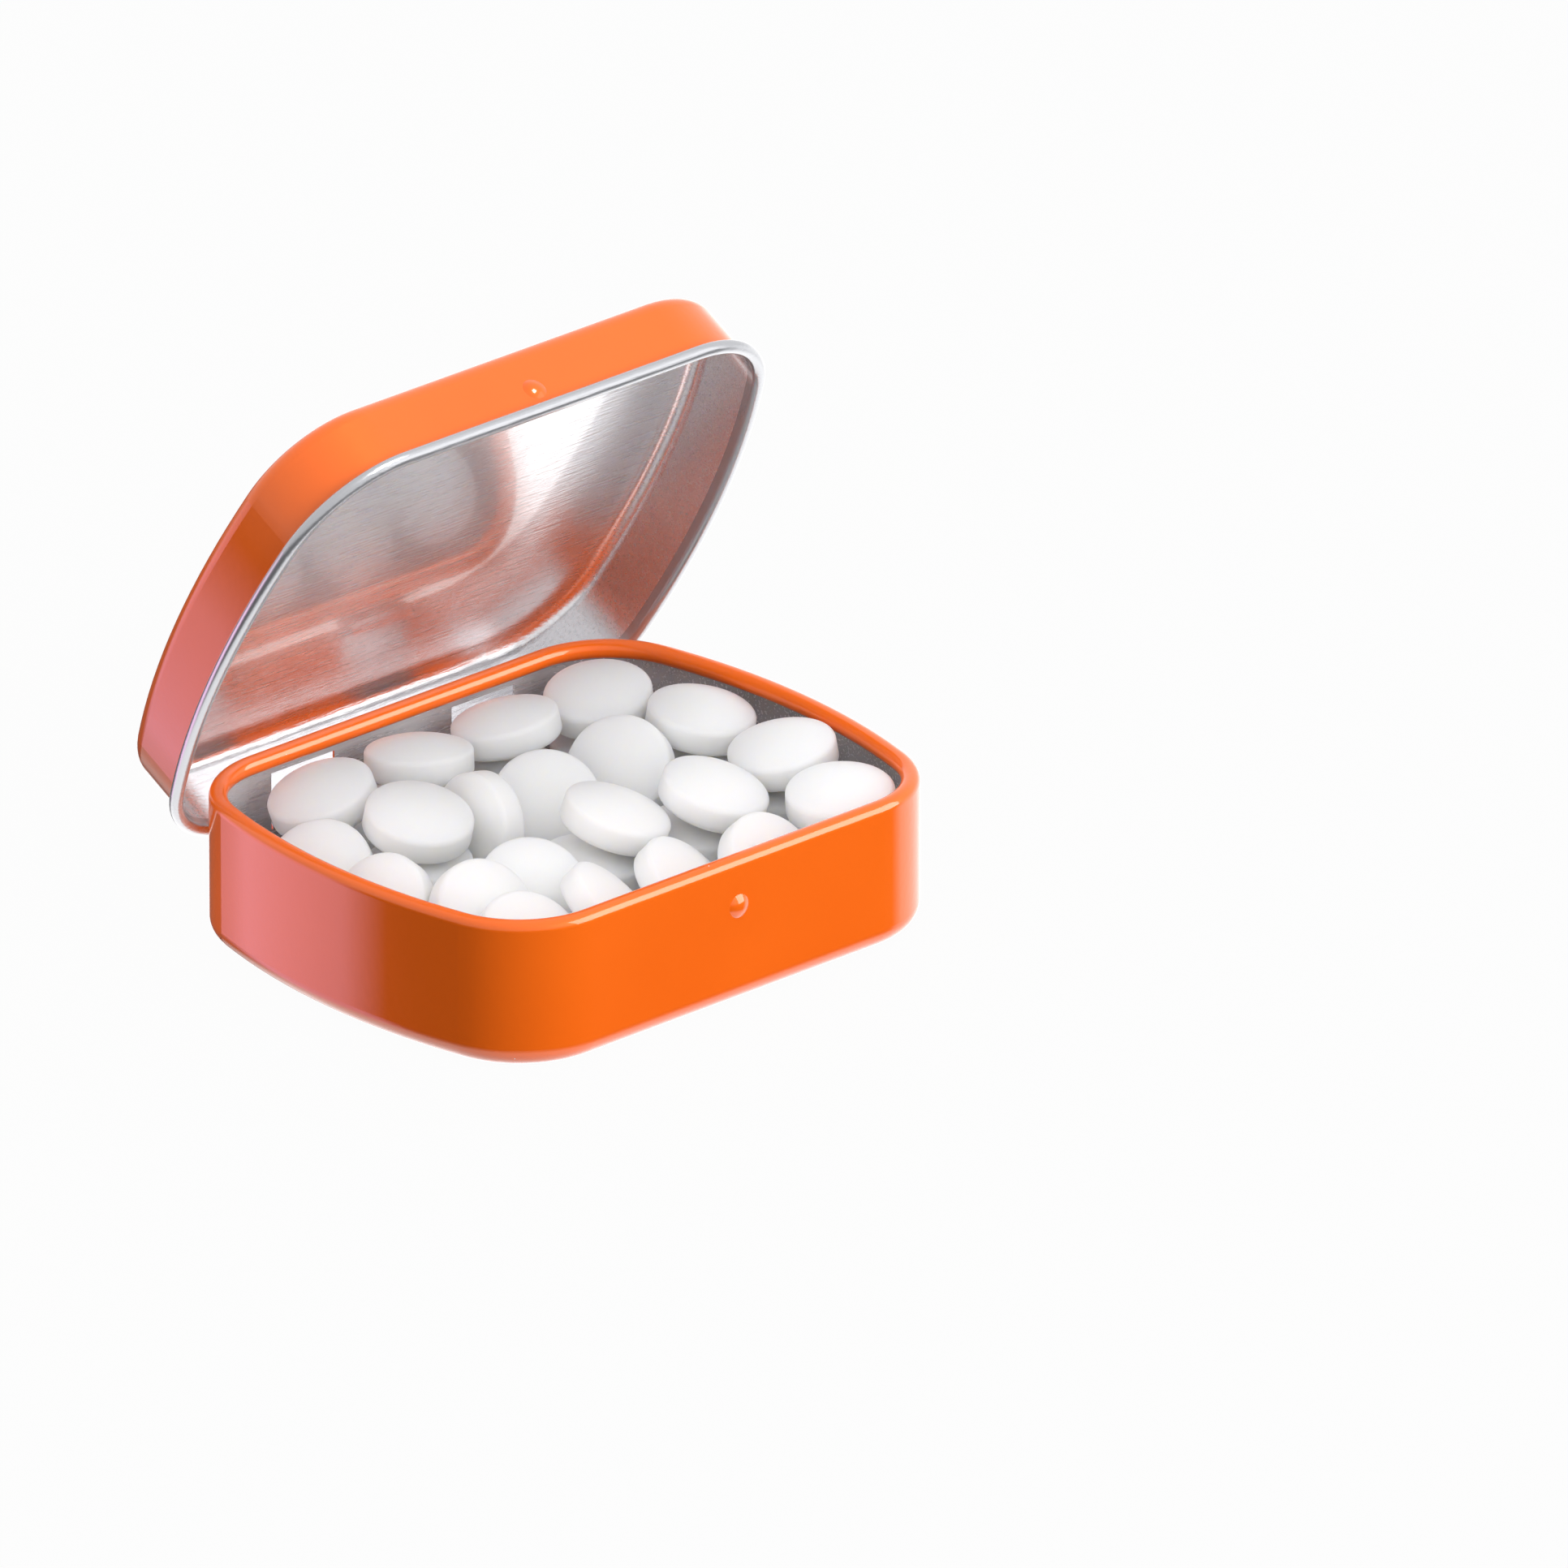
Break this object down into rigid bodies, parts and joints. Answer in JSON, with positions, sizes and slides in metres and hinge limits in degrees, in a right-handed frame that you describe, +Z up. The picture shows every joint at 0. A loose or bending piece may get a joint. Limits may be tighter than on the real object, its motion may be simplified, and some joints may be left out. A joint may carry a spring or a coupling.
{
  "type": "hinged mint tin",
  "caption": "Small pressed tin with bowed ends and rounded corners, its hinged slip lid standing open over a heap of round white mints.",
  "frame": {"origin": "middle of the flat underside of the tray", "axes": "+X along the tin's length, -Y to the front where the catch is, +Y to the hinge, +Z up"},
  "size_m": [0.06, 0.0529, 0.0518],
  "materials": {
    "tray_lacquer": "orange lacquer outside, bare tinplate inside",
    "lid_lacquer": "orange lacquer outside, bare tinplate inside and on the curl",
    "mint": "smooth pressed sugar"
  },
  "bodies": {
    "tray": {"base_tray": "tray_lacquer", "mint_01": "mint", "mint_02": "mint", "mint_03": "mint", "mint_04": "mint", "mint_05": "mint", "mint_06": "mint", "mint_07": "mint", "mint_08": "mint", "mint_09": "mint", "mint_10": "mint", "mint_11": "mint", "mint_12": "mint", "mint_13": "mint", "mint_14": "mint", "mint_15": "mint", "mint_16": "mint", "mint_17": "mint", "mint_18": "mint", "mint_19": "mint", "mint_20": "mint", "mint_21": "mint", "mint_22": "mint", "mint_23": "mint", "mint_24": "mint", "mint_25": "mint", "mint_26": "mint", "mint_27": "mint", "mint_28": "mint", "mint_29": "mint", "mint_30": "mint", "mint_31": "mint", "mint_32": "mint", "mint_33": "mint", "mint_34": "mint", "mint_35": "mint", "mint_36": "mint", "mint_37": "mint", "mint_38": "mint", "mint_39": "mint", "mint_40": "mint", "mint_41": "mint", "mint_42": "mint", "mint_43": "mint", "mint_44": "mint", "mint_45": "mint", "mint_46": "mint", "mint_47": "mint", "mint_48": "mint", "mint_49": "mint"},
    "lid": {"lid": "lid_lacquer"}
  },
  "joints": [
    {"name": "lid_hinge", "type": "hinge", "parent": "tray", "child": "lid", "pos_m": [0, 0.02388, 0.007], "axis": [-1, 0, 0], "range_deg": [-62, 43]}
  ]
}
